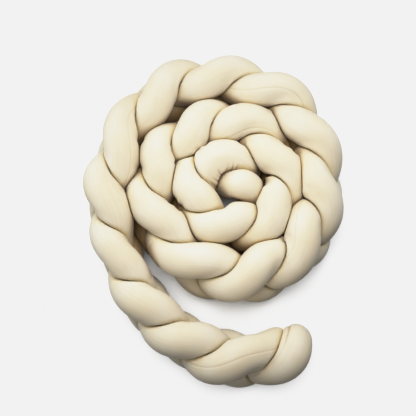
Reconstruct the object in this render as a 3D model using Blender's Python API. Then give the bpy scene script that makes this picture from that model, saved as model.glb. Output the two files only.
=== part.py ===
"""A crib bumper: three stuffed cloth tubes plaited flat, stood on edge and coiled.

The plait stands on its lower edge and winds clockwise, seen from above, from a
loose end to the middle of the coil. Lobes are counted along it: each tube in
turn climbs over the upper edge, so tube number i tops the plait at lobes
i, i + 3, i + 6 and so on, and crosses from the inner face to the outer face.
Where tubes press together they meet on the surface half-way between them.
"""
import math

import bpy
import numpy as np
from mathutils.bvhtree import BVHTree

# Driving sizes, in metres.
TUBE_RADIUS = 0.033  # a tube lying free
LOWEST_CENTRE = 0.030  # a tube's centre at the lower edge, floor flattening it
RISE = 0.041  # how far a tube's centre climbs and falls about the middle
SEAM_GAP = 0.0018  # clear space where tubes touch
LEAST_GAP = 0.0004  # clear space left between flat faces
FULLEST = 1.06  # how far a squeezed tube may swell, of its free radius
BLEND = 12.0  # how sharply round turns into pressed flat
SOFTNESS = 0.007  # reach of the cloth's rounding over an edge
BEND_REACH = 0.010  # reach over which sections turn into a bend
CENTRE = (0.0128, -0.0148)  # middle of the finished part, on the floor

# Mesh fineness.
LINE_STEP = 0.0025  # along a tube's centre line, when it is drawn
FINE_STEP = 0.005  # between the sections worked out
FINE_SIDES = 28  # directions worked out in a section
SECTION_STEP = 0.0155  # between the sections kept
SIDES = 14  # corners kept in a section
CAP_ROWS = 3  # sections rounding each closed end
EASING_STEP = 0.0003  # how far crossing faces are drawn in each time
EASING_SPREAD = 0.8  # sections or corners over which that fades out
EASING_ROUNDS = 40

# Top of each lobe of the upper edge, from the loose end to the coil's middle.
# lean: how far the lower edge is set to the inside; swing: how far a tube
# passes to each side of the plait's middle; ahead: how far its climb runs
# ahead of that swing; girth: of a tube lying free.
# The first and the last row only steer the curve.
LOBE_COLUMNS = ("x_mm", "y_mm", "lean_mm", "swing_mm", "ahead_deg", "girth")
FIRST_LOBE = -1
LOBES = (
    (168, -233, 3, 14, 9, 1.00),  # before the loose end
    (150, -280, 3, 14, 9, 0.87),  # loose end
    (46, -290, 4, 17, 9, 1.04),  # tail
    (-47, -254, 4, 12, 9, 1.00),
    (-119, -187, 4, 10, 9, 1.02),
    (-171, -92, 5, 8, 7, 0.93),
    (-191, 12, 4, 15, 6, 1.00),  # outer turn
    (-169, 128, 2, 16, 6, 1.00),
    (-89, 232, 0, 16, 10, 1.00),
    (16, 258, 0, 16, 9, 1.00),
    (123, 232, 0, 16, 0, 1.00),
    (197, 144, 0, 16, 0, 1.00),
    (213, 27, 0, 16, 11, 1.00),
    (177, -70, 0, 16, 11, 1.00),
    (81, -130, 0, 16, 11, 1.00),
    (-21, -109, 0, 16, 9, 1.00),  # middle turn
    (-101, -18, 0, 16, 9, 1.00),
    (-96, 87, 0, 16, 9, 1.00),
    (-27, 150, 0, 16, 4, 1.00),
    (62, 165, 0, 16, 4, 1.00),
    (140, 81, 0, 16, 8, 1.00),
    (123, -14, 0, 16, 6, 1.00),
    (31, -40, 0, 15, 6, 1.00),  # inner turn
    (-33, 28, 0, 13, 9, 1.00),
    (15, 91, 0, 16, 9, 1.00),
    (61, 31, 0, 16, 9, 0.84),
    (91, -12, 0, 16, 9, 0.90),  # past the middle
)

# Points that lead a tube into the plait at its loose end, or out of it in the
# middle of the coil. A tube without them keeps to the plait.
LEAD_COLUMNS = ("x_mm", "y_mm", "z_mm", "girth")
LEAD_IN = {
    "strand_one": (
        (150, -269, 3, 0.88),
        (156, -263, 24, 0.88),
        (161, -257, 46, 0.88),
        (162, -254, 67, 0.88),
        (161, -254, 87, 0.88),
        (158, -265, 103, 0.91),
        (151, -283, 108, 0.94),
        (135, -298, 97, 0.93),
        (112, -301, 77, 0.95),
        (89, -295, 59, 0.98),
    ),
    "strand_two": (
        (139, -255, 60, 0.92),
        (123, -262, 84, 0.94),
        (100, -271, 98, 0.98),
    ),
    "strand_three": (
        (138, -283, 34, 1.00),
        (113, -287, 32, 1.00),
    ),
}
LEAD_OUT = {
    "strand_one": (
        (33, 64, 58, 0.88),
        (45, 47, 80, 0.82),
        (54, 41, 100, 0.82),
        (65, 38, 109, 0.84),
        (77, 34, 101, 0.82),
        (84, 26, 80, 0.82),
        (88, 14, 54, 0.84),
    ),
    "strand_three": (
        (-4, 62, 98, 1.00),
        (2, 77, 111, 1.02),
        (19, 89, 113, 1.02),
        (41, 92, 110, 1.00),
        (61, 84, 98, 0.98),
        (74, 73, 76, 0.96),
        (79, 59, 50, 0.94),
    ),
}

# Each tube, with the lobe counts between which it keeps to the plait.
TUBE_COLUMNS = ("name", "from_lobe", "to_lobe")
TUBES = (
    ("strand_one", 1.0, 23.0),
    ("strand_two", 0.9, 23.9),
    ("strand_three", 0.6, 22.3),
)

CLOTH_COLOUR = (0.83, 0.78, 0.64, 1.0)
CLOTH_ROUGHNESS = 0.9
CLOTH_METALLIC = 0.0


def curve_through(knots, rows, at):
    """Smooth curve through the rows, free at both ends (a natural spline)."""
    span = np.diff(knots)
    count = len(knots)
    matrix = np.eye(count)
    bend = np.zeros_like(rows)
    for k in range(1, count - 1):
        matrix[k, k - 1:k + 2] = span[k - 1], 2 * (span[k - 1] + span[k]), span[k]
        before = (rows[k] - rows[k - 1]) / span[k - 1]
        after = (rows[k + 1] - rows[k]) / span[k]
        bend[k] = 6 * (after - before)
    bend = np.linalg.solve(matrix, bend)
    k = np.clip(np.searchsorted(knots, at) - 1, 0, count - 2)
    width = span[k][:, None]
    done = (at - knots[k])[:, None]
    left = width - done
    curved = (bend[k] * left ** 3 + bend[k + 1] * done ** 3) / (6 * width)
    straight_left = (rows[k] / width - bend[k] * width / 6) * left
    straight_done = (rows[k + 1] / width - bend[k + 1] * width / 6) * done
    return curved + straight_left + straight_done


def distance_along(line):
    steps = np.linalg.norm(np.diff(line[:, :3], axis=0), axis=1)
    return np.concatenate([[0.0], np.cumsum(steps)])


def evenly(line, step):
    """The same line with even steps close to the one asked for."""
    along = distance_along(line)
    at = np.linspace(0.0, along[-1], int(round(along[-1] / step)) + 1)
    columns = [np.interp(at, along, line[:, k]) for k in range(line.shape[1])]
    return np.column_stack(columns)


def plait_line(number, start, stop):
    """Rows of x, y, z and girth for one tube's centre line."""
    table = np.array(LOBES, float)
    table[:, :4] /= 1000.0
    table[:, 4] = np.radians(table[:, 4])
    knots = np.arange(len(LOBES)) + float(FIRST_LOBE)
    lobe = np.arange(start, stop, 0.02)
    x, y, lean, swing, climb_ahead, girth = curve_through(knots, table, lobe).T
    ahead = curve_through(knots, table, lobe + 0.001)
    heading = np.arctan2(ahead[:, 1] - y, ahead[:, 0] - x)
    turn = math.pi / 2 + (lobe - number) * 2 * math.pi / 3
    outward = lean * (np.sin(turn) - 1) - swing * np.sin(2 * turn)
    return np.column_stack([
        x - np.sin(heading) * outward,
        y + np.cos(heading) * outward,
        LOWEST_CENTRE + RISE * (1 + np.sin(turn + climb_ahead)),
        girth,
    ])


def lead_points(rows):
    points = np.array(rows, float).reshape(-1, len(LEAD_COLUMNS))
    points[:, :3] /= 1000.0
    return points


def tube_line(number):
    """One tube's whole centre line, with its lead in and lead out."""
    name, start, stop = TUBES[number]
    line = plait_line(number, start, stop)
    inward = lead_points(LEAD_IN.get(name, ()))
    outward = lead_points(LEAD_OUT.get(name, ()))
    knots = np.concatenate([inward, line[::12], outward])
    along = distance_along(knots)
    at = np.arange(0.0, along[-1], LINE_STEP)
    return evenly(curve_through(along, knots, at), LINE_STEP)


def room_around(lines, number, sections, directions):
    """How far out each direction runs before it is half-way to another tube."""
    reach = 2.6 * TUBE_RADIUS
    others = np.concatenate([ln for k, ln in enumerate(lines) if k != number])
    room = np.full(directions.shape[:2], 9.0)
    for k, centre in enumerate(sections[:, :3]):
        offset = others[:, :3] - centre
        own = lines[number][:, :3] - centre
        own = own[np.linalg.norm(own, axis=1) > 0.6 * TUBE_RADIUS]
        offset = np.concatenate([offset, own])
        distance = np.linalg.norm(offset, axis=1)
        near = distance < reach
        offset = offset[near]
        distance = distance[near]
        facing = directions[k] @ offset.T
        half_way = 0.5 * distance * (distance - SEAM_GAP) / np.maximum(facing, 1e-6)
        half_way[facing <= 1e-6] = 9.0
        room[k] = half_way.min(axis=1)
    return room


def pressed(free, room):
    """Radii of tubes this round when free, pressed into the room they have."""
    return (free[:, None] ** -BLEND + room ** -BLEND) ** (-1.0 / BLEND)


def free_radius(room, girth):
    """The free radius that keeps each pressed section's area."""
    wanted = math.pi * (TUBE_RADIUS * girth) ** 2
    low = 0.6 * TUBE_RADIUS * girth
    high = FULLEST * TUBE_RADIUS * girth
    slice_angle = math.sin(2 * math.pi / room.shape[1])
    for _ in range(22):
        middle = (low + high) / 2
        radii = pressed(middle, room)
        area = 0.5 * slice_angle * np.sum(radii * np.roll(radii, -1, axis=1), axis=1)
        high = np.where(area > wanted, middle, high)
        low = np.where(area > wanted, low, middle)
    return low


def rounded_off(values, reach, around):
    """Values averaged with their neighbours, along the tube or around it."""
    size = int(3 * reach) + 1
    weights = np.exp(-0.5 * (np.arange(-size, size + 1) / reach) ** 2)
    weights /= weights.sum()
    if around:
        padded = np.pad(values, [(0, 0), (size, size)], mode="wrap")
        shifts = range(2 * size + 1)
        return sum(weights[k] * padded[:, k:k + values.shape[1]] for k in shifts)
    padded = np.pad(values, [(size, size), (0, 0)], mode="edge")
    shifts = range(2 * size + 1)
    return sum(weights[k] * padded[k:k + len(values)] for k in shifts)


def section_directions(sections, sides):
    """Unit directions out of the centre line, carried along it untwisted."""
    along = np.gradient(sections[:, :3], axis=0)
    along = rounded_off(along, BEND_REACH / FINE_STEP, False)
    along /= np.linalg.norm(along, axis=1)[:, None]
    up = np.zeros_like(along)
    carried = np.array([0.0, 1.0, 0.0])
    for k, ahead in enumerate(along):
        carried = carried - ahead * (carried @ ahead)
        carried /= np.linalg.norm(carried)
        up[k] = carried
    side = np.cross(along, up)
    angle = np.arange(sides) * 2 * math.pi / sides
    return (np.cos(angle)[None, :, None] * up[:, None]
            + np.sin(angle)[None, :, None] * side[:, None])


def tube_radii(lines, number, sections, directions):
    """Radius of the stuffed cloth at every section, in every direction."""
    room = room_around(lines, number, sections, directions)
    free = free_radius(room, sections[:, 3])
    free = rounded_off(free[:, None], 2 * SOFTNESS / FINE_STEP, False)[:, 0]
    radii = pressed(free, room)
    radii = rounded_off(radii, SOFTNESS / FINE_STEP, False)
    side_step = TUBE_RADIUS * 2 * math.pi / directions.shape[1]
    radii = rounded_off(radii, SOFTNESS / side_step, True)
    return np.minimum(radii, room)


def stations(length):
    """Where the kept sections stand: close together on the rounded ends."""
    cap = TUBE_RADIUS * (1 - np.cos(np.arange(CAP_ROWS) * math.pi / 2 / CAP_ROWS))
    cap += 0.0005
    count = int(round((length - 2 * TUBE_RADIUS) / SECTION_STEP)) + 1
    middle = np.linspace(TUBE_RADIUS, length - TUBE_RADIUS, count)
    return np.concatenate([cap, middle, (length - cap)[::-1]])


def kept_sections(lines, number):
    """Centres, directions and radii at the kept sections and corners."""
    sections = evenly(lines[number], FINE_STEP)
    directions = section_directions(sections, FINE_SIDES)
    radii = tube_radii(lines, number, sections, directions)
    along = distance_along(sections)
    at = stations(along[-1])
    corners = range(0, FINE_SIDES, FINE_SIDES // SIDES)
    radii = np.column_stack([np.interp(at, along, radii[:, c]) for c in corners])
    centres = np.column_stack([np.interp(at, along, sections[:, k]) for k in range(3)])
    ways = np.zeros(radii.shape + (3,))
    for place, corner in enumerate(corners):
        for k in range(3):
            ways[:, place, k] = np.interp(at, along, directions[:, corner, k])
    end = np.clip(np.minimum(at, along[-1] - at) / TUBE_RADIUS, 0.0, 1.0)
    closing = np.where(end < 1.0, np.sqrt(1 - (1 - end) ** 2), 2.0)
    radii = np.minimum(radii, closing[:, None] * TUBE_RADIUS * FULLEST)
    return centres, ways, radii


def ring_points(centres, ways, radii):
    """Rows of rings out on the skin, standing on the floor and centred."""
    skin = centres[:, None] + ways * radii[:, :, None]
    skin[:, :, 2] = np.maximum(skin[:, :, 2], 0.0)
    skin[:, :, 0] -= CENTRE[0]
    skin[:, :, 1] -= CENTRE[1]
    return skin


def closed_skin(rings):
    """Points and faces of a closed skin over the rings, a fan over each end."""
    rows, sides = rings.shape[:2]
    first = rows * sides
    last = first + 1
    points = [tuple(point) for point in rings.reshape(-1, 3)]
    points.append(tuple(rings[0].mean(axis=0)))
    points.append(tuple(rings[-1].mean(axis=0)))
    faces = []
    for side in range(sides):
        step = (side + 1) % sides
        faces.append((first, step, side))
        faces.append((last, first - sides + side, first - sides + step))
        one_way = np.linalg.norm(rings[1:, step] - rings[:-1, side], axis=1)
        other_way = np.linalg.norm(rings[1:, side] - rings[:-1, step], axis=1)
        for row in range(rows - 1):
            a, b = row * sides + side, row * sides + step
            c, d = b + sides, a + sides
            if one_way[row] < other_way[row]:
                faces += [(a, b, c), (a, c, d)]
            else:
                faces += [(a, b, d), (b, c, d)]
    return points, faces


def too_close(shapes):
    """For each tube, which corners belong to faces that run into a face."""
    skins = []
    for centres, ways, radii in shapes:
        skins.append(closed_skin(ring_points(centres, ways, radii + LEAST_GAP / 2)))
    trees = [BVHTree.FromPolygons(points, faces) for points, faces in skins]
    marked = [np.zeros(len(points), bool) for points, faces in skins]
    for a in range(len(skins)):
        for b in range(a, len(skins)):
            for one, two in trees[a].overlap(trees[b]):
                corners = list(skins[a][1][one])
                others = list(skins[b][1][two])
                if a == b and set(corners) & set(others):
                    continue
                marked[a][corners] = True
                marked[b][others] = True
    return [marks[:-2].reshape(shape[2].shape) for marks, shape in zip(marked, shapes)]


def ease_apart(shapes):
    """Draw in the skin round faces that would cross, a little at a time."""
    for _ in range(EASING_ROUNDS):
        marked = too_close(shapes)
        if not any(marks.any() for marks in marked):
            break
        for shape, marks in zip(shapes, marked):
            spread = rounded_off(marks.astype(float), EASING_SPREAD, False)
            spread = rounded_off(spread, EASING_SPREAD, True)
            shape[2][:] -= EASING_STEP * np.clip(2.0 * spread, 0.0, 1.0)


def add_tube(name, shape, group):
    points, faces = closed_skin(ring_points(*shape))
    mesh = bpy.data.meshes.new(name)
    mesh.from_pydata(points, [], faces)
    mesh.validate()
    mesh.shade_smooth()
    mesh.materials.append(cloth(name + "_cloth"))
    group.objects.link(bpy.data.objects.new(name, mesh))


def cloth(name):
    material = bpy.data.materials.new(name)
    material.use_nodes = True
    surface = material.node_tree.nodes["Principled BSDF"]
    surface.inputs["Base Color"].default_value = CLOTH_COLOUR
    surface.inputs["Roughness"].default_value = CLOTH_ROUGHNESS
    surface.inputs["Metallic"].default_value = CLOTH_METALLIC
    return material


def build():
    for old in list(bpy.data.objects):
        bpy.data.objects.remove(old, do_unlink=True)
    group = bpy.data.collections.new("crib_bumper")
    bpy.context.scene.collection.children.link(group)
    lines = [tube_line(number) for number in range(len(TUBES))]
    shapes = [kept_sections(lines, number) for number in range(len(TUBES))]
    ease_apart(shapes)
    for tube, shape in zip(TUBES, shapes):
        add_tube(tube[0], shape, group)


build()
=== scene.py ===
"""The look of the braided crib bumper: three stuffed cloth tubes over the CAD frame.

The tubes follow the routes of the solids in the frame, worked out finer. Only
the lobe in the coil's middle stands higher than its solid, by 5 mm at most.
Each skin is then swelled as cloth, kept clear of its neighbours, and given the
seam, folds and open pits that the photograph shows. The material adds soft
patches, faint streaks along the tube and a fine nap, and paints shade into the
creases, pits and folds, with warm painted bounce light along the creases.
"""
import math

import bpy
import numpy as np
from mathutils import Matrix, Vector


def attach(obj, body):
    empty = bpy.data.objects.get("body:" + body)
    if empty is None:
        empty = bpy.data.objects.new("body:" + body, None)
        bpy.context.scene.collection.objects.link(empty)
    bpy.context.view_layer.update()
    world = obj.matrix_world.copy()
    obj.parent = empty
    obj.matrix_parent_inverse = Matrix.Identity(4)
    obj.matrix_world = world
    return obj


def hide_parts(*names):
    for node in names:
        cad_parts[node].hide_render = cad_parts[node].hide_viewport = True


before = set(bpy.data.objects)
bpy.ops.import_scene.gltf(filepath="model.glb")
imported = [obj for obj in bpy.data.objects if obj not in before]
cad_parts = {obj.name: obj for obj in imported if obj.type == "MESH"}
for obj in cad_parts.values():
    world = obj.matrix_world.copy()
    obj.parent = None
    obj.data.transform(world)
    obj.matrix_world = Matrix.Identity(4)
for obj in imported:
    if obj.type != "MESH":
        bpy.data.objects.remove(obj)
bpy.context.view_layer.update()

# Sizes of the tubes, in metres, as in the solids.
TUBE_RADIUS = 0.033
LOWEST_CENTRE = 0.030  # height of a tube's middle where it lies on the floor
RISE = 0.041  # half of the climb from there to the upper edge
SLIMMEST = 0.6  # share of its radius that a tube keeps at least
FULLEST = 1.06  # and to which it may grow where it is pressed
BLEND = 12.0  # the higher, the more sharply round turns into pressed
BEND_REACH = 0.010  # distance over which a tube's heading is evened
LOBE_STEP = 0.02  # of the curve worked out along the plait, in lobes
KNOT_EVERY = 12  # of those steps, for the curve through the leads too

# Where tubes press together, within the plait and between turns of the coil:
# the gap between their cloth, and how round their pressed edges stay.
PLAIT_GAP = 0.0003
PLAIT_CORNER = 0.003
TURN_GAP = 0.0008
TURN_CORNER = 0.024
LOBES_TO_NEXT_TURN = 2.2
GIRTH, LOBE = 3, 4  # columns of a centre line, after x, y and z
NEIGHBOUR_WITHIN = 2.6 * TUBE_RADIUS
OWN_LINE_FROM = 0.6 * TUBE_RADIUS  # nearer points are the section's own place
NO_NEIGHBOUR = 9.0  # room where nothing is in the way
NO_TURN = 1.0  # distance where no other turn is near
TINY = 1e-6
CENTRE = (0.0128, -0.0148)  # of the whole object, moved to the origin

# Mesh fineness: of the cloth that swells, and of the skin that is kept.
LINE_STEP = 0.0025
CLOTH_STEP = 0.005
CLOTH_SIDES = 36
CLOTH_SOFTNESS = 0.0045  # reach of the cloth's rounding over an edge
SKIN_STEP = 0.0028
SKIN_SIDES = 72
SKIN_SOFTNESS = 0.0028
SIDE_WIDTH = 2 * math.pi * TUBE_RADIUS / SKIN_SIDES
END_SETBACK = 0.0005  # of the first ring from the tip of a tube's end
END_RINGS = 1.25  # rings on a rounded end, in radii divided by the step
AREA_ROUNDS = 22  # of halving, to find the radius that keeps the area
CLEARING_ROUNDS = 6  # of drawing the skin back from its neighbours

# How the cloth swells under its stuffing.
START_SMALLER = 0.985  # of the final radius, before it swells
PRESSURE = 4.0
SPARE_CLOTH = 0.01  # share by which the cloth is cut larger than it lies
FRAMES = 20
MOST_MOVED = 0.006
HELD_WITHIN = 0.004  # of the surface where tubes press together
LEAST_HELD = 0.02
EVENED_ALONG = 1.2  # rings and sides over which the moves are evened
EVENED_AROUND = 1.0
CLOTH_SETTINGS = {
    "quality": 5,
    "mass": 0.3,
    "tension_stiffness": 15.0,
    "compression_stiffness": 15.0,
    "shear_stiffness": 5.0,
    "bending_stiffness": 0.5,
    "use_pressure": True,
    "uniform_pressure_force": PRESSURE,
    "shrink_min": -SPARE_CLOTH,
}

# The cloth's surface: the same all over, and its three kinds of unevenness.
CLOTH_SURFACE = {
    "Roughness": 0.9,
    "Specular IOR Level": 0.25,
    "Sheen Weight": 0.3,
    "Sheen Roughness": 0.4,
    "Sheen Tint": (0.96, 0.98, 1.0, 1.0),
}
PATCH_SCALE = 14.0
STREAK_SCALES = (18.0, 260.0, 1.0)  # along the tube, across it
NAP_SCALE = 900.0
NAP_STRENGTH = 0.12
NAP_HEIGHT = 0.0005

# Colours of the cloth, as stops of a ramp; those after the first multiply it.
# The last four ramps are painted light: warm bounce light in the creases, and
# shade under an overlapping tube, low between turns and in the folds.
CLOTH_COLOURS = ((0.35, (0.71, 0.63, 0.485)), (0.65, (0.74, 0.68, 0.565)))
STREAK_COLOURS = ((0.35, (0.97, 0.965, 0.95)), (0.60, (1.0, 1.0, 1.0)))
SEAM_COLOURS = ((0.0, (0.90, 0.87, 0.81)), (1.0, (1.0, 1.0, 1.0)))
# Painted warm bounce light where tubes press together: redder, brighter and less blue
# nearest a neighbour.
CREASE_BOUNCE_LIGHT_COLOURS = (
    (0.25, (1.0, 1.0, 1.0)),
    (0.50, (1.03, 1.02, 0.94)),
    (0.75, (1.12, 1.07, 0.88)),
    (1.00, (1.18, 1.07, 0.78)),
)
# Painted shade on a tube just under a higher neighbour's edge.
UNDER_EDGE_SHADE_COLOURS = ((0.0, (1.0, 1.0, 1.0)), (1.0, (0.90, 0.87, 0.75)))
# Painted dark brown shade on the cloth low between two turns of the coil.
DEEP_SHADE_COLOURS = ((0.0, (1.0, 1.0, 1.0)), (1.0, (0.42, 0.29, 0.13)))
# Painted shade in the valleys of the folds, darker the deeper they go.
FOLD_SHADE_COLOURS = ((0.15, (1.0, 1.0, 1.0)), (1.0, (0.66, 0.57, 0.42)))
CREASE_BOUNCE_LIGHT_FADE = 0.0020  # distance over which the painted bounce light of a crease fades
UNDER_SHADE_REACH = 0.0045  # how far from a tube that lies over it a tube gets painted shade
UNDER_SHADE_DROP = 0.015  # difference in height that gives the whole painted shade
DEEP_TOP = 0.122  # below this height the painted shade between two turns grows darker
DEEP_FOOT = 0.098
DEEP_REACH = 0.010  # and within this distance of the other turn
DEEP_WIDENS = 1.2  # which grows by this share of itself down to the foot

# Top of each lobe of the upper edge, from the loose end to the coil's middle.
# lean: how far the lower edge is set to the inside; swing: how far a tube
# passes to each side of the plait's middle; ahead: how far its climb runs
# ahead of that swing; girth: of a tube lying free.
# The first and the last row only steer the curve.
LOBE_COLUMNS = ("x_mm", "y_mm", "lean_mm", "swing_mm", "ahead_deg", "girth")
FIRST_LOBE = -1
LOBES = (
    (168, -233, 3, 14, 9, 1.00),  # before the loose end
    (150, -280, 3, 14, 9, 0.87),  # loose end
    (46, -290, 4, 17, 9, 1.04),  # tail
    (-47, -254, 4, 12, 9, 1.00),
    (-119, -187, 4, 10, 9, 1.02),
    (-171, -92, 5, 8, 7, 0.93),
    (-191, 12, 4, 15, 6, 1.00),  # outer turn
    (-169, 128, 2, 16, 6, 1.00),
    (-89, 232, 0, 16, 10, 1.00),
    (16, 258, 0, 16, 9, 1.00),
    (123, 232, 0, 16, 0, 1.00),
    (197, 144, 0, 16, 0, 1.00),
    (213, 27, 0, 16, 11, 1.00),
    (177, -70, 0, 16, 11, 1.00),
    (81, -130, 0, 16, 11, 1.00),
    (-21, -109, 0, 16, 9, 1.00),  # middle turn
    (-101, -18, 0, 16, 9, 1.00),
    (-96, 87, 0, 16, 9, 1.00),
    (-27, 150, 0, 16, 4, 1.00),
    (62, 165, 0, 16, 4, 1.00),
    (140, 81, 0, 16, 8, 1.00),
    (123, -14, 0, 16, 6, 1.00),
    (31, -40, 0, 15, 6, 1.00),  # inner turn
    (-33, 28, 0, 13, 9, 1.00),
    (15, 91, 0, 16, 9, 1.00),
    (61, 31, 0, 16, 9, 0.84),
    (91, -12, 0, 16, 9, 0.90),  # past the middle
)

# Points that lead a tube into the plait at its loose end, or out of it in the
# middle of the coil. A tube without them keeps to the plait. The first tube's
# way out is the coil's middle lobe, which the solids have a little lower.
LEAD_COLUMNS = ("x_mm", "y_mm", "z_mm", "girth")
LEAD_IN = {
    "strand_one": (
        (150, -269, 3, 0.88),
        (156, -263, 24, 0.88),
        (161, -257, 46, 0.88),
        (162, -254, 67, 0.88),
        (161, -254, 87, 0.88),
        (158, -265, 103, 0.91),
        (151, -283, 108, 0.94),
        (135, -298, 97, 0.93),
        (112, -301, 77, 0.95),
        (89, -295, 59, 0.98),
    ),
    "strand_two": (
        (139, -255, 60, 0.92),
        (123, -262, 84, 0.94),
        (100, -271, 98, 0.98),
    ),
    "strand_three": (
        (138, -283, 34, 1.00),
        (113, -287, 32, 1.00),
    ),
}
LEAD_OUT = {
    "strand_one": (
        (33, 64, 60, 0.88),
        (45, 47, 84, 0.82),
        (54, 41, 105, 0.82),
        (65, 38, 114, 0.84),
        (77, 34, 106, 0.82),
        (84, 26, 84, 0.82),
        (88, 14, 54, 0.84),
    ),
    "strand_three": (
        (-4, 62, 98, 1.00),
        (2, 77, 111, 1.02),
        (19, 89, 113, 1.02),
        (41, 92, 110, 1.00),
        (61, 84, 98, 0.98),
        (74, 73, 76, 0.96),
        (79, 59, 50, 0.94),
    ),
}

# Each tube, with the lobe counts between which it keeps to the plait.
TUBE_COLUMNS = ("name", "from_lobe", "to_lobe")
TUBES = (
    ("strand_one", 1.0, 23.0),
    ("strand_two", 0.9, 23.9),
    ("strand_three", 0.6, 22.3),
)
STRANDS = [dict(zip(TUBE_COLUMNS, row)) for row in TUBES]

# The lengthwise seam of each tube: places that it passes, in mm along the tube
# and in sides round the skin.
SEAM_COLUMNS = ("at_mm", "side")
SEAMS = {
    "strand_one": (
        (150, 4),
        (260, -20),
        (680, -20),
        (800, 3),
        (883, 4),
        (930, 1),
        (1250, 0),
        (1317, 0),
        (1333, -1),
        (2455, 7),
        (2482, 10),
        (2505, 9),
        (2534, 4),
        (2660, -22),
    ),
    "strand_two": (
        (67, 55),
        (95, 55),
        (121, 57),
        (150, 59),
        (300, 45),
        (500, 25),
    ),
    "strand_three": (
        (0, 20),
    ),
}
SEAM_OFFSETS = (0.35, 0.8, 1.4)  # close columns beside a seam, in sides from it
SEAM_EVENED = 12.0  # rings over which its bends are evened
SEAM_DEPTH = 0.0005
SEAM_WIDTH = 0.0012
PUCKER_DEPTH = 0.0004
PUCKER_WIDTH = 0.0040
PUCKER_PITCH = 0.0075
PUCKER_WANDER = 1.7  # radians by which the puckers run early or late

# Folds in the cloth, each from its deepest end to where it fades out: places
# as for the seams, then the half width and the depth.
FOLD_COLUMNS = ("from_mm", "from_side", "to_mm", "to_side", "width_mm", "depth_mm")
FOLDS = {
    "strand_one": (
        (3219, 17.5, 3221, 12.0, 1.3, 0.8),  # puckers by the coil's middle
        (3225, 18.0, 3226, 12.5, 1.3, 1.1),
        (3231, 18.0, 3230, 13.5, 1.2, 0.8),
        (90, 3.5, 128, 3.5, 4.0, 1.8),  # fold by the loose end's seam
    ),
    "strand_two": (
        (2872, 67.0, 2884, 62.5, 1.8, 1.2),
    ),
    "strand_three": (
        (2935, 62.0, 2944, 56.5, 1.5, 1.6),  # gathers inside the last bend
        (2943, 63.0, 2950, 56.0, 1.5, 2.4),
        (2950, 64.5, 2956, 57.5, 1.4, 2.2),
        (2956, 66.0, 2962, 60.0, 1.4, 1.8),
        (2963, 67.0, 2971, 58.5, 1.7, 3.2),
        (2976, 67.0, 2982, 60.5, 1.4, 1.8),
        (2985, 66.5, 2993, 61.0, 1.5, 1.8),
        (2995, 65.0, 2999, 57.5, 1.6, 3.0),
        (3004, 64.0, 3004, 58.0, 1.4, 1.5),
        (3012, 63.0, 3006, 55.5, 1.5, 2.4),
        (3020, 61.0, 3013, 55.0, 1.5, 1.7),
    ),
}
FOLD_FULLY_SHADED = 0.0020  # depth of fold that takes the whole painted shade
FOLD_SHARPNESS = 1.4  # the lower, the sharper its valley
FOLD_FADING = 0.7  # the lower, the longer it stays deep

# Where lobes meet and leave an open pit: how far the cloth is drawn back, over
# what reach, and the heights between which that fades out downward. A row
# draws back every strand, or only the one it names.
PIT_COLUMNS = ("strand", "x_mm", "y_mm", "back_mm", "reach_mm")
PITS = (
    ("every", -129, 127, 3.0, 8),  # round the outside of the middle turn
    ("every", -131, 70, 2.2, 8),
    ("every", -159, 25, 2.2, 8),
    ("every", 119, 185, 3.0, 8),
    ("every", 154, 119, 4.0, 9),
    ("every", 170, 103, 4.0, 9),
    ("every", 186, 22, 3.0, 8),
    ("every", 144, -68, 3.5, 8),
    ("every", -60, 80, 2.5, 8),  # round the outside of the inner turn
    ("every", -19, 102, 3.0, 8),
    ("every", -7, 116, 3.0, 8),
    ("every", 66, 122, 3.0, 8),
    ("every", -66, 7, 3.5, 9),
    ("every", -53, -7, 3.5, 9),
    ("strand_three", 107, 62, 9.0, 13),
    ("strand_three", 106, 46, 8.0, 13),
    ("strand_one", 12, 16, 9.0, 15),  # beside the coil's middle
    ("strand_one", 22, 1, 7.0, 13),
)
PIT_TOP = 0.090
PIT_FOOT = 0.050

# Where the rings stand closer together, for the gathers: from, to and step.
CLOSE_RINGS = {
    "strand_one": (3.212, 3.238, 0.0010),
    "strand_three": (2.928, 3.026, 0.0009),
}

# The camera: a long lens from high in front, as in the photograph.
LENS = 70.0
SENSOR = 36.0
ELEVATION = math.radians(76.0)
LOOK_AT = (-CENTRE[0], -CENTRE[1], 0.08)
DISTANCE = 1.5612
NEAREST_SEEN = 0.05

# Print tones: light that comes in, and light that shows.
TONE_CURVE = ((0.25, 0.22), (0.5, 0.52), (0.7, 0.75), (0.85, 0.85))
PAPER_WHITE = 0.887

# The floor, and the lamp that lights it alone.
FLOOR_REACH = 60.0
FLOOR_DROP = 0.0004  # below the coil, so that the two don't share a plane
FLOOR_SURFACE = {
    "Base Color": (0.86, 0.86, 0.86, 1.0),
    "Roughness": 0.95,
    "Specular IOR Level": 0.1,
}
FLOOR_LIGHT_POWER = 3.2
FLOOR_LIGHT_WAY = (-0.07, 0.10, 1.0)
FLOOR_LIGHT_SPREAD = math.radians(42.0)

# The sky's light by direction, and the lamps for the cloth.
BRIGHT_WAY = (-0.35, 0.30, 0.89)  # where most of the sky's light comes from
SKY_COLOURS = ((0.42, (0.03, 0.022, 0.015)), (0.85, (0.98, 0.99, 1.0)))
SKY = 0.68
LAMP_COLUMNS = ("name", "place", "size", "power", "spread_deg", "colour")
LAMPS = (
    ("softbox_over", (0.02, 0.15, 0.76), 0.5, 1.15, 100, (1.0, 0.96, 0.90)),
    ("softbox_left", (-1.05, 0.35, 0.35), 0.8, 4.4, 180, (0.85, 0.93, 1.0)),
    ("softbox_right", (0.86, 0.72, 0.30), 0.8, 4.0, 180, (0.83, 0.92, 1.0)),
)


def in_metres(columns, rows):
    """A table's rows, with its mm columns in metres and its deg ones in radians."""
    table = np.array(rows, float).reshape(-1, len(columns))
    for k, column in enumerate(columns):
        if column.endswith("_mm"):
            table[:, k] /= 1000.0
        if column.endswith("_deg"):
            table[:, k] = np.radians(table[:, k])
    return table


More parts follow.
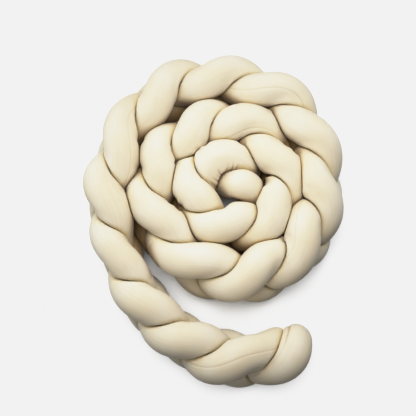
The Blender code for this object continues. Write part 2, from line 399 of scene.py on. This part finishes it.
def curve_through(knots, rows, at):
    """Smooth curve through the rows, free at both ends (a natural spline)."""
    span = np.diff(knots)
    count = len(knots)
    matrix = np.eye(count)
    bend = np.zeros_like(rows)
    for k in range(1, count - 1):
        matrix[k, k - 1:k + 2] = span[k - 1], 2 * (span[k - 1] + span[k]), span[k]
        before = (rows[k] - rows[k - 1]) / span[k - 1]
        after = (rows[k + 1] - rows[k]) / span[k]
        bend[k] = 6 * (after - before)
    bend = np.linalg.solve(matrix, bend)
    k = np.clip(np.searchsorted(knots, at) - 1, 0, count - 2)
    width = span[k][:, None]
    done = (at - knots[k])[:, None]
    left = width - done
    curved = (bend[k] * left ** 3 + bend[k + 1] * done ** 3) / (6 * width)
    straight_left = (rows[k] / width - bend[k] * width / 6) * left
    straight_done = (rows[k + 1] / width - bend[k + 1] * width / 6) * done
    return curved + straight_left + straight_done


def distance_along(line):
    """How far along the line each of its points lies."""
    steps = np.linalg.norm(np.diff(line[:, :3], axis=0), axis=1)
    return np.concatenate([[0.0], np.cumsum(steps)])


def evenly(line, step):
    """The same line with even steps close to the one asked for."""
    along = distance_along(line)
    at = np.linspace(0.0, along[-1], int(round(along[-1] / step)) + 1)
    columns = [np.interp(at, along, line[:, k]) for k in range(line.shape[1])]
    return np.column_stack(columns)


def plait_line(number, start, stop):
    """Rows of x, y, z, girth and lobe count for one tube's centre line."""
    table = in_metres(LOBE_COLUMNS, LOBES)
    knots = np.arange(len(LOBES)) + float(FIRST_LOBE)
    lobe = np.arange(start, stop, LOBE_STEP)
    x, y, lean, swing, climb_ahead, girth = curve_through(knots, table, lobe).T
    further = curve_through(knots, table, lobe + LOBE_STEP / 20)
    heading = np.arctan2(further[:, 1] - y, further[:, 0] - x)
    turn = math.pi / 2 + (lobe - number) * 2 * math.pi / 3
    outward = lean * (np.sin(turn) - 1) - swing * np.sin(2 * turn)
    return np.column_stack([
        x - np.sin(heading) * outward,
        y + np.cos(heading) * outward,
        LOWEST_CENTRE + RISE * (1 + np.sin(turn + climb_ahead)),
        girth,
        lobe,
    ])


def lead_points(rows, lobe):
    """Lead points in metres, all given the lobe count they lead from or to."""
    points = in_metres(LEAD_COLUMNS, rows)
    return np.column_stack([points, np.full(len(points), lobe)])


def tube_line(number):
    """One tube's whole centre line, with its lead in and lead out."""
    strand = STRANDS[number]
    start, stop = strand["from_lobe"], strand["to_lobe"]
    line = plait_line(number, start, stop)
    inward = lead_points(LEAD_IN.get(strand["name"], ()), start)
    outward = lead_points(LEAD_OUT.get(strand["name"], ()), stop)
    knots = np.concatenate([inward, line[::KNOT_EVERY], outward])
    along = distance_along(knots)
    at = np.arange(0.0, along[-1], LINE_STEP)
    return evenly(curve_through(along, knots, at), LINE_STEP)


def neighbours(lines, number, sections):
    """For each section: the ways to the tubes near it, and what parts them.

    Gives the offset to each near point, its distance, the gap kept from it,
    and whether it belongs to another turn of the coil.
    """
    others = np.concatenate([ln for k, ln in enumerate(lines) if k != number])
    own = lines[number]
    for section in sections:
        offset = np.concatenate([others, own])[:, :3] - section[:3]
        distance = np.linalg.norm(offset, axis=1)
        near = distance < NEIGHBOUR_WITHIN
        near[len(others):] &= distance[len(others):] > OWN_LINE_FROM
        lobe = np.concatenate([others, own])[near, LOBE]
        turn = np.abs(lobe - section[LOBE]) > LOBES_TO_NEXT_TURN
        yield offset[near], distance[near], np.where(turn, TURN_GAP, PLAIT_GAP), turn


def room_around(near, directions, corner=0.0, turns_only=False):
    """How far out each direction runs before it is half-way to another tube.

    With a corner, it stops that much short of half-way.
    """
    room = np.full(directions.shape[:2], NO_NEIGHBOUR)
    for k, (offset, distance, gap, turn) in enumerate(near):
        if turns_only:
            offset, distance, gap = offset[turn], distance[turn], gap[turn]
        if not len(offset):
            continue
        facing = directions[k] @ offset.T
        limit = (distance - gap) / 2
        limit = np.maximum(limit - corner, limit / 2)
        half_way = distance * limit / np.maximum(facing, TINY)
        half_way[facing <= TINY] = NO_NEIGHBOUR
        room[k] = half_way.min(axis=1)
    return room


def pressed(free, room):
    """Radii of tubes this round when free, pressed into the room they have."""
    return (free[:, None] ** -BLEND + room ** -BLEND) ** (-1.0 / BLEND)


def free_radius(room, girth):
    """The free radius that keeps each pressed section's area."""
    wanted = math.pi * (TUBE_RADIUS * girth) ** 2
    low = SLIMMEST * TUBE_RADIUS * girth
    high = FULLEST * TUBE_RADIUS * girth
    slice_angle = math.sin(2 * math.pi / room.shape[1])
    for _ in range(AREA_ROUNDS):
        middle = (low + high) / 2
        radii = pressed(middle, room)
        area = 0.5 * slice_angle * np.sum(radii * np.roll(radii, -1, axis=1), axis=1)
        high = np.where(area > wanted, middle, high)
        low = np.where(area > wanted, low, middle)
    return low


def grown(core, by):
    """Sections grown outward by a distance, which rounds their corners."""
    angle = np.arange(core.shape[1]) * 2 * math.pi / core.shape[1]
    turned = angle[:, None] - angle[None, :]
    outward = core[:, None, :] * np.cos(turned)
    reach = by ** 2 - (core[:, None, :] * np.sin(turned)) ** 2
    outward = outward + np.sqrt(np.maximum(reach, 0.0))
    return np.where(reach > 0.0, outward, 0.0).max(axis=2)


def grown_from_core(near, ways, free, corner, turns_only):
    """Radii of sections whose pressed edges are rounded by this corner."""
    core = room_around(near, ways, corner, turns_only)
    return grown(np.minimum(free[:, None] - corner, core), corner)


def rounded_off(values, reach, around):
    """Values averaged with their neighbours, along the tube or around it."""
    size = int(3 * reach) + 1
    weights = np.exp(-0.5 * (np.arange(-size, size + 1) / reach) ** 2)
    weights /= weights.sum()
    rest = [(0, 0)] * (values.ndim - 2)
    if around:
        padded = np.pad(values, [(0, 0), (size, size)] + rest, mode="wrap")
        shifts = range(2 * size + 1)
        return sum(weights[k] * padded[:, k:k + values.shape[1]] for k in shifts)
    padded = np.pad(values, [(size, size), (0, 0)] + rest, mode="edge")
    shifts = range(2 * size + 1)
    return sum(weights[k] * padded[k:k + len(values)] for k in shifts)


def section_directions(sections, step, sides):
    """Unit directions out of the centre line, carried along it untwisted."""
    along = np.gradient(sections[:, :3], axis=0)
    along = rounded_off(along, BEND_REACH / step, False)
    along /= np.linalg.norm(along, axis=1)[:, None]
    up = np.zeros_like(along)
    carried = np.array([0.0, 1.0, 0.0])
    for k, ahead in enumerate(along):
        carried = carried - ahead * (carried @ ahead)
        carried /= np.linalg.norm(carried)
        up[k] = carried
    side = np.cross(along, up)
    angle = np.arange(sides) * 2 * math.pi / sides
    return (np.cos(angle)[None, :, None] * up[:, None]
            + np.sin(angle)[None, :, None] * side[:, None])


def stations(length, step, close=None):
    """Where the sections stand: close together on the rounded ends and folds."""
    rows = int(round(END_RINGS * TUBE_RADIUS / step))
    cap = TUBE_RADIUS * (1 - np.cos(np.arange(rows) * math.pi / 2 / rows))
    cap += END_SETBACK
    count = int(round((length - 2 * TUBE_RADIUS) / step)) + 1
    middle = np.linspace(TUBE_RADIUS, length - TUBE_RADIUS, count)
    if close:
        start, stop, short_step = close
        middle = middle[(middle < start) | (middle > stop)]
        middle = np.sort(np.append(middle, np.arange(start, stop, short_step)))
    return np.concatenate([cap, middle, (length - cap)[::-1]])


def resampled(at, along, values):
    """Values known along a line, read off at other places along it."""
    flat = values.reshape(len(values), -1)
    columns = [np.interp(at, along, flat[:, k]) for k in range(flat.shape[1])]
    return np.column_stack(columns).reshape((len(at),) + values.shape[1:])


def tube_rings(lines, number, step, sides, softness, close=None):
    """One tube's centres, ways out, radii and room, ring by ring."""
    sections = evenly(lines[number], step)
    ways = section_directions(sections, step, sides)
    near = list(neighbours(lines, number, sections))
    room = room_around(near, ways)
    free = free_radius(room, sections[:, GIRTH])
    free = rounded_off(free[:, None], 2 * softness / step, False)[:, 0]
    radii = np.minimum(
        grown_from_core(near, ways, free, PLAIT_CORNER, False),
        grown_from_core(near, ways, free, TURN_CORNER, True))
    radii = rounded_off(radii, softness / step, False)
    radii = np.minimum(radii, room)
    along = distance_along(sections)
    at = stations(along[-1], step, close)
    tables = [resampled(at, along, table) for table in (sections, ways, radii, room)]
    centres, ways, radii, room = tables
    end = np.clip(np.minimum(at, along[-1] - at) / TUBE_RADIUS, 0.0, 1.0)
    closing = np.where(end < 1.0, np.sqrt(1 - (1 - end) ** 2), 2.0)
    radii = np.minimum(radii, closing[:, None] * TUBE_RADIUS * FULLEST)
    return {"at": at, "centres": centres, "ways": ways, "radii": radii, "room": room}


def skin_of(rings, share=1.0):
    """The points of the rings, at their radii or at a share of them."""
    return rings["centres"][:, None, :3] + rings["ways"] * share * rings["radii"][:, :, None]


def kept_clear(skin, centres, lines, number):
    """The skin drawn back to its own side of every neighbour, off the floor.

    Also gives how far each of its points then lies from the neighbour's side,
    how far from the side of another turn of the coil, and how much it lies
    just under a neighbour's edge.
    """
    clear = skin.copy()
    spare = np.zeros(skin.shape[:2])
    from_turn = np.full(skin.shape[:2], NO_TURN)
    under = np.zeros(skin.shape[:2])
    for k, (offset, distance, gap, turn) in enumerate(neighbours(lines, number, centres)):
        toward = offset / distance[:, None]
        limit = (distance - gap) / 2
        ring = clear[k] - centres[k, :3]
        for _ in range(CLEARING_ROUNDS):
            past = ring @ toward.T - limit
            worst = past.argmax(axis=1)
            over = np.clip(past[np.arange(len(ring)), worst], 0.0, None)
            if over.max() < TINY:
                break
            ring -= toward[worst] * over[:, None]
        clear[k] = ring + centres[k, :3]
        left = limit - ring @ toward.T
        spare[k] = left.min(axis=1)
        # The mask for painted shade just under a higher neighbour's edge.
        lower = np.clip(offset[:, 2] / UNDER_SHADE_DROP, 0.0, 1.0)
        under[k] = (lower * np.exp(-np.maximum(left, 0.0) / UNDER_SHADE_REACH)).max(axis=1)
        if turn.any():
            from_turn[k] = left[:, turn].min(axis=1)
    clear[:, :, 2] = np.maximum(clear[:, :, 2], 0.0)
    return clear, spare, from_turn, under


def drawn_back(name, skin):
    """How far, level, each point of a strand's skin is drawn back from the pits."""
    moved = np.zeros_like(skin)
    rise = np.clip((skin[:, :, 2] - PIT_FOOT) / (PIT_TOP - PIT_FOOT), 0.0, 1.0)
    rise = rise * rise * (3 - 2 * rise)
    for row in PITS:
        pit = dict(zip(PIT_COLUMNS, row))
        if pit["strand"] not in ("every", name):
            continue
        middle = np.array([pit["x_mm"], pit["y_mm"]]) / 1000
        away = skin[:, :, :2] - middle
        distance = np.linalg.norm(away, axis=2)
        back = pit["back_mm"] / 1000 * np.exp(-(distance * 1000 / pit["reach_mm"]) ** 2)
        share = back * rise / np.maximum(distance, TINY)
        moved[:, :, :2] += away * share[:, :, None]
    return moved


def places_round(name, at):
    """Where the kept skin's columns stand, in sides, and how far from the seam.

    They stand close together beside the seam, which the first one follows.
    """
    passed = dict(zip(SEAM_COLUMNS, np.array(SEAMS[name], float).T))
    seam = np.interp(at * 1000, passed["at_mm"], passed["side"])
    seam = rounded_off(seam[:, None], SEAM_EVENED, False)
    close = np.array(SEAM_OFFSETS)
    rest = SKIN_SIDES - 2 * close[-1]
    even = close[-1] + np.arange(1, round(rest)) * rest / round(rest)
    from_seam = np.concatenate([[0.0], close, even, SKIN_SIDES - close[::-1]])
    return seam + from_seam, SIDE_WIDTH * np.minimum(from_seam, SKIN_SIDES - from_seam)


def taken_at(values, places):
    """Values of the even columns, taken at these places round each ring."""
    low = np.floor(places).astype(int)
    share = places - low
    share = share.reshape(share.shape + (1,) * (values.ndim - 2))
    row = np.arange(len(values))[:, None]
    before = values[row, low % SKIN_SIDES]
    after = values[row, (low + 1) % SKIN_SIDES]
    return before + (after - before) * share


def fold_depth(name, at, places):
    """How deep the folds of a tube go, at each point of its skin."""
    depth = np.zeros(places.shape)
    half = SKIN_SIDES / 2
    for row in FOLDS[name]:
        fold = dict(zip(FOLD_COLUMNS, row))
        run = np.array([
            (fold["to_mm"] - fold["from_mm"]) / 1000,
            (fold["to_side"] - fold["from_side"]) * SIDE_WIDTH,
        ])
        length = np.linalg.norm(run)
        along = np.broadcast_to((at - fold["from_mm"] / 1000)[:, None], places.shape)
        around = (places - fold["from_side"] + half) % SKIN_SIDES - half
        around = around * SIDE_WIDTH
        share = (along * run[0] + around * run[1]) / length ** 2
        across = (along * run[1] - around * run[0]) / length
        fading = np.clip(1 - share, 0.0, 1.0) * np.clip(2 + share, 0.0, 1.0)
        valley = np.exp(-np.abs(across * 1000 / fold["width_mm"]) ** FOLD_SHARPNESS)
        depth += fold["depth_mm"] / 1000 * valley * fading ** FOLD_FADING
    return depth


def seam_depth(at, from_seam):
    """The trough along the seam, puckered a little by its stitches."""
    trough = SEAM_DEPTH * np.exp(-(from_seam / SEAM_WIDTH) ** 2)
    wander = PUCKER_WANDER * np.sin(at / (3 * PUCKER_PITCH))
    pucker = 0.5 + 0.5 * np.sin(2 * math.pi * at / PUCKER_PITCH + wander)
    pulled = PUCKER_DEPTH * np.exp(-(from_seam / PUCKER_WIDTH) ** 2)
    return trough[None, :] + pucker[:, None] * pulled[None, :]


def tube_mesh(name, skin):
    """A closed quad mesh over the rings, with a fan at each end."""
    rows, sides = skin.shape[:2]
    points = [tuple(point) for point in skin.reshape(-1, 3)]
    first = len(points)
    points.append(tuple(skin[0].mean(axis=0)))
    points.append(tuple(skin[-1].mean(axis=0)))
    faces = []
    for side in range(sides):
        step = (side + 1) % sides
        faces.append((first, step, side))
        faces.append((first + 1, first - sides + side, first - sides + step))
        for row in range(rows - 1):
            low = row * sides
            faces.append((low + side, low + step, low + sides + step, low + sides + side))
    mesh = bpy.data.meshes.new(name)
    mesh.from_pydata(points, [], faces)
    mesh.shade_smooth()
    return mesh


def cushion(number, rings):
    """A cloth object over the rings, held still where the tube is pressed."""
    name = "cushion_" + str(number + 1)
    made = bpy.data.objects.new(name, tube_mesh(name, skin_of(rings, START_SMALLER)))
    bpy.context.scene.collection.objects.link(made)
    group = made.vertex_groups.new(name="held")
    held = np.clip(1 - (rings["room"] - rings["radii"]) / HELD_WITHIN, 0.0, 1.0)
    for index, share in enumerate(held.ravel()):
        if share > LEAST_HELD:
            group.add([index], float(share), "REPLACE")
    cloth = made.modifiers.new("cloth", "CLOTH")
    for setting, value in CLOTH_SETTINGS.items():
        setattr(cloth.settings, setting, value)
    cloth.settings.effector_weights.gravity = 0.0
    cloth.settings.vertex_group_mass = "held"
    cloth.collision_settings.use_collision = False
    cloth.collision_settings.use_self_collision = False
    cloth.point_cache.frame_start = 1
    cloth.point_cache.frame_end = FRAMES
    return made


def swelling(tubes):
    """How far each point of each tube moves as the stuffing swells the cloth."""
    cushions = [cushion(number, rings) for number, rings in enumerate(tubes)]
    for frame_number in range(1, FRAMES + 1):
        bpy.context.scene.frame_set(frame_number)
    graph = bpy.context.evaluated_depsgraph_get()
    moves = []
    for made, rings in zip(cushions, tubes):
        mesh = made.evaluated_get(graph).data
        flat = np.empty(len(mesh.vertices) * 3)
        mesh.vertices.foreach_get("co", flat)
        skin = skin_of(rings)
        moved = flat.reshape(-1, 3)[:-2].reshape(skin.shape) - skin
        moved = rounded_off(moved, EVENED_ALONG, False)
        moved = rounded_off(moved, EVENED_AROUND, True)
        length = np.linalg.norm(moved, axis=2)
        moved *= (MOST_MOVED / np.maximum(length, MOST_MOVED))[:, :, None]
        moves.append(moved)
    for made in cushions:
        old = made.data
        bpy.data.objects.remove(made, do_unlink=True)
        bpy.data.meshes.remove(old)
    bpy.context.scene.frame_set(1)
    return moves


def carried_over(moved, coarse, fine):
    """The coarse tube's moves, drawn out over the points of the fine one."""
    rows = resampled(fine["at"], coarse["at"], moved)
    ratio = SKIN_SIDES // CLOTH_SIDES
    after = np.roll(rows, -1, axis=1)
    parts = [rows + (after - rows) * k / ratio for k in range(ratio)]
    return np.stack(parts, axis=2).reshape(rows.shape[0], SKIN_SIDES, 3)


def link(graph, start, end):
    """Joins an output to an input."""
    graph.links.new(start, end)


def node(graph, kind, **settings):
    """A new node, with its own settings by name and the rest on its inputs."""
    made = graph.nodes.new(kind)
    for name, value in settings.items():
        if hasattr(made, name):
            setattr(made, name, value)
        else:
            made.inputs[name.replace("_", " ")].default_value = value
    return made


def multiplied(graph, first, second):
    """One colour multiplied by another, on the mix node's colour sockets."""
    made = node(graph, "ShaderNodeMix", data_type="RGBA", blend_type="MULTIPLY")
    made.inputs[0].default_value = 1.0
    link(graph, first, made.inputs[6])
    link(graph, second, made.inputs[7])
    return made.outputs[2]


def ramp_from(graph, value, stops):
    """Colours by value: each stop gives a place on the scale and its colour."""
    made = node(graph, "ShaderNodeValToRGB")
    elements = made.color_ramp.elements
    while len(elements) < len(stops):
        elements.new(0.5)
    for element, (position, colour) in zip(elements, stops):
        element.position = position
        element.color = colour + (1.0,)
    link(graph, value, made.inputs["Fac"])
    return made.outputs["Color"]


def cloth_material(name):
    """Cream cloth with patches, streaks along the tube, a nap, and painted shade and bounce
    light in creases and folds.
    """
    material = bpy.data.materials.new(name)
    material.use_nodes = True
    graph = material.node_tree
    surface = graph.nodes["Principled BSDF"]
    for socket, value in CLOTH_SURFACE.items():
        surface.inputs[socket].default_value = value
    place = node(graph, "ShaderNodeTexCoord")
    patches = node(graph, "ShaderNodeTexNoise", Scale=PATCH_SCALE, Detail=3.0)
    link(graph, place.outputs["Object"], patches.inputs["Vector"])
    colour = ramp_from(graph, patches.outputs["Fac"], CLOTH_COLOURS)

    along = node(graph, "ShaderNodeAttribute", attribute_name="along")
    from_seam = node(graph, "ShaderNodeAttribute", attribute_name="from_seam")
    on_cloth = node(graph, "ShaderNodeCombineXYZ")
    link(graph, along.outputs["Fac"], on_cloth.inputs["X"])
    link(graph, from_seam.outputs["Fac"], on_cloth.inputs["Y"])
    stretched = node(graph, "ShaderNodeMapping")
    stretched.inputs["Scale"].default_value = STREAK_SCALES
    link(graph, on_cloth.outputs["Vector"], stretched.inputs["Vector"])
    streaks = node(graph, "ShaderNodeTexNoise", Scale=1.0, Detail=2.0)
    link(graph, stretched.outputs["Vector"], streaks.inputs["Vector"])
    streaked = ramp_from(graph, streaks.outputs["Fac"], STREAK_COLOURS)
    colour = multiplied(graph, colour, streaked)

    seam = node(graph, "ShaderNodeMapRange")
    seam.inputs["From Min"].default_value = SEAM_WIDTH / 3
    seam.inputs["From Max"].default_value = SEAM_WIDTH
    link(graph, from_seam.outputs["Fac"], seam.inputs["Value"])
    seam_line = ramp_from(graph, seam.outputs["Result"], SEAM_COLOURS)
    colour = multiplied(graph, colour, seam_line)

    # Painted light: warm bounce light in creases, shade under an overlapping tube, dark
    # shade low between turns, shade in folds.
    painted_light_ramps = (
        ("closeness", CREASE_BOUNCE_LIGHT_COLOURS),
        ("under", UNDER_EDGE_SHADE_COLOURS),
        ("deep", DEEP_SHADE_COLOURS),
        ("folded", FOLD_SHADE_COLOURS),
    )
    for attribute, stops in painted_light_ramps:
        value = node(graph, "ShaderNodeAttribute", attribute_name=attribute)
        tint = ramp_from(graph, value.outputs["Fac"], stops)
        colour = multiplied(graph, colour, tint)
    link(graph, colour, surface.inputs["Base Color"])

    nap = node(graph, "ShaderNodeTexNoise", Scale=NAP_SCALE, Detail=2.0)
    link(graph, place.outputs["Object"], nap.inputs["Vector"])
    bump = node(graph, "ShaderNodeBump", Strength=NAP_STRENGTH, Distance=NAP_HEIGHT)
    link(graph, nap.outputs["Fac"], bump.inputs["Height"])
    link(graph, bump.outputs["Normal"], surface.inputs["Normal"])
    return material


def set_values(mesh, name, values, at_ends):
    """A number for each point of the rings, and one for both end points."""
    layer = mesh.attributes.new(name, "FLOAT", "POINT")
    layer.data.foreach_set("value", np.append(values.ravel(), [at_ends, at_ends]))


def add_tube(number, rings, skin, spare, from_turn, under):
    """The piece for one tube, with its seam and folds pressed into the skin."""
    name = STRANDS[number]["name"]
    places, from_seam = places_round(name, rings["at"])
    folded = fold_depth(name, rings["at"], places)
    depth = folded + seam_depth(rings["at"], from_seam)
    spare = taken_at(spare, places)
    from_turn = taken_at(from_turn, places)
    skin = taken_at(skin, places)
    moved = drawn_back(name, skin)
    skin += moved
    skin -= taken_at(rings["ways"], places) * depth[:, :, None]
    skin[:, :, 2] = np.maximum(skin[:, :, 2], 0.0)
    skin[:, :, :2] -= CENTRE
    tube = bpy.data.objects.new("stuffed_tube_" + str(number + 1), tube_mesh(name, skin))
    bpy.context.scene.collection.objects.link(tube)
    # Masks for the painted light: crease bounce light (closeness), shade under an edge, low
    # between turns (deep) and in folds.
    spare = spare + depth + np.linalg.norm(moved, axis=2)
    set_values(tube.data, "closeness", np.exp(-np.maximum(spare, 0.0) / CREASE_BOUNCE_LIGHT_FADE), 0.0)
    below = np.clip((DEEP_TOP - skin[:, :, 2]) / (DEEP_TOP - DEEP_FOOT), 0.0, 1.0)
    reach = DEEP_REACH * (1.0 + DEEP_WIDENS * below)
    near_turn = np.exp(-(np.maximum(from_turn, 0.0) / reach) ** 2)
    set_values(tube.data, "under", taken_at(under, places), 0.0)
    set_values(tube.data, "deep", below * near_turn, 0.0)
    set_values(tube.data, "folded", np.clip(folded / FOLD_FULLY_SHADED, 0.0, 1.0), 0.0)
    around = np.broadcast_to(from_seam, depth.shape)
    along = np.broadcast_to(rings["at"][:, None], depth.shape)
    set_values(tube.data, "from_seam", around, SIDE_WIDTH)
    set_values(tube.data, "along", along, 0.0)
    tube.data.materials.append(cloth_material("cream_cotton_" + str(number + 1)))
    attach(tube, "root")
    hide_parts(name)
    return tube


def light_only(light, lit):
    """Lets a lamp light these objects and no others."""
    group = bpy.data.collections.new("lit_by_" + light.name)
    for thing in lit:
        group.objects.link(thing)
    light.light_linking.receiver_collection = group


def add_floor_light(floor):
    """A lamp for the floor alone, which keeps the paper white up to the cloth."""
    data = bpy.data.lights.new("floor_light", "SUN")
    data.energy = FLOOR_LIGHT_POWER
    data.angle = FLOOR_LIGHT_SPREAD
    light = bpy.data.objects.new("floor_light", data)
    light.rotation_mode = "QUATERNION"
    light.rotation_quaternion = Vector(FLOOR_LIGHT_WAY).to_track_quat("Z", "Y")
    bpy.context.scene.collection.objects.link(light)
    light_only(light, [floor])


def add_floor():
    """A wide plain floor, which sends no light back up to the cloth."""
    mesh = bpy.data.meshes.new("floor")
    ways = ((-1, -1), (1, -1), (1, 1), (-1, 1))
    corners = [(x * FLOOR_REACH, y * FLOOR_REACH, -FLOOR_DROP) for x, y in ways]
    mesh.from_pydata(corners, [], [(0, 1, 2, 3)])
    floor = bpy.data.objects.new("floor", mesh)
    bpy.context.scene.collection.objects.link(floor)
    material = bpy.data.materials.new("floor")
    material.use_nodes = True
    surface = material.node_tree.nodes["Principled BSDF"]
    for socket, value in FLOOR_SURFACE.items():
        surface.inputs[socket].default_value = value
    mesh.materials.append(material)
    floor.visible_diffuse = False
    add_floor_light(floor)


def add_camera():
    """The camera, looking at the coil's middle from the photograph's angle."""
    data = bpy.data.cameras.new("camera")
    data.lens = LENS
    data.sensor_width = SENSOR
    data.clip_start = NEAREST_SEEN
    data.clip_end = 3 * FLOOR_REACH
    camera = bpy.data.objects.new("camera", data)
    back = Vector((0.0, -math.cos(ELEVATION), math.sin(ELEVATION)))
    camera.location = Vector(LOOK_AT) + back * DISTANCE
    camera.rotation_mode = "QUATERNION"
    camera.rotation_quaternion = back.to_track_quat("Z", "Y")
    bpy.context.scene.collection.objects.link(camera)
    bpy.context.scene.camera = camera


def add_lamps(tubes):
    """Soft lamps over the coil and beside it, for the cloth alone."""
    for row in LAMPS:
        wanted = dict(zip(LAMP_COLUMNS, row))
        data = bpy.data.lights.new(wanted["name"], "AREA")
        data.shape = "DISK"
        data.size = wanted["size"]
        data.spread = math.radians(wanted["spread_deg"])
        data.energy = wanted["power"]
        data.color = wanted["colour"]
        lamp = bpy.data.objects.new(wanted["name"], data)
        lamp.location = wanted["place"]
        lamp.rotation_mode = "QUATERNION"
        lamp.rotation_quaternion = Vector(wanted["place"]).to_track_quat("Z", "Y")
        lamp.visible_camera = False
        bpy.context.scene.collection.objects.link(lamp)
        light_only(lamp, tubes)


def add_studio(tubes):
    """Soft light from above and behind, dim from the front and from below."""
    add_lamps(tubes)
    world = bpy.data.worlds.new("studio")
    world.use_nodes = True
    graph = world.node_tree
    backdrop = graph.nodes["Background"]
    way = node(graph, "ShaderNodeTexCoord")
    facing = node(graph, "ShaderNodeVectorMath", operation="DOT_PRODUCT")
    facing.inputs[1].default_value = Vector(BRIGHT_WAY).normalized()
    link(graph, way.outputs["Generated"], facing.inputs[0])
    share = node(graph, "ShaderNodeMapRange")
    share.inputs["From Min"].default_value = -1.0
    link(graph, facing.outputs["Value"], share.inputs["Value"])
    colour = ramp_from(graph, share.outputs["Result"], SKY_COLOURS)
    link(graph, colour, backdrop.inputs["Color"])
    backdrop.inputs["Strength"].default_value = SKY
    bpy.context.scene.world = world
    set_tones(bpy.context.scene.view_settings)


def set_tones(view):
    """Print tones: darks as they are, lights rolling off to paper white."""
    view.view_transform = "Standard"
    view.use_curve_mapping = True
    tones = view.curve_mapping
    tones.extend = "HORIZONTAL"
    curve = tones.curves[3]
    curve.points[0].location = (0.0, 0.0)
    curve.points[1].location = (1.0, PAPER_WHITE)
    for level, shown in TONE_CURVE:
        curve.points.new(level, shown)
    tones.update()


lines = [tube_line(number) for number in range(len(STRANDS))]
fine = [
    tube_rings(lines, number, SKIN_STEP, SKIN_SIDES, SKIN_SOFTNESS,
               CLOSE_RINGS.get(strand["name"]))
    for number, strand in enumerate(STRANDS)
]
skins = [skin_of(rings) for rings in fine]
coarse = [
    tube_rings(lines, number, CLOTH_STEP, CLOTH_SIDES, CLOTH_SOFTNESS)
    for number in range(len(STRANDS))
]
for number, moved in enumerate(swelling(coarse)):
    skins[number] += carried_over(moved, coarse[number], fine[number])
tubes = []
for number, skin in enumerate(skins):
    clear = kept_clear(skin, fine[number]["centres"], lines, number)
    tubes.append(add_tube(number, fine[number], *clear))
add_floor()
add_studio(tubes)
add_camera()
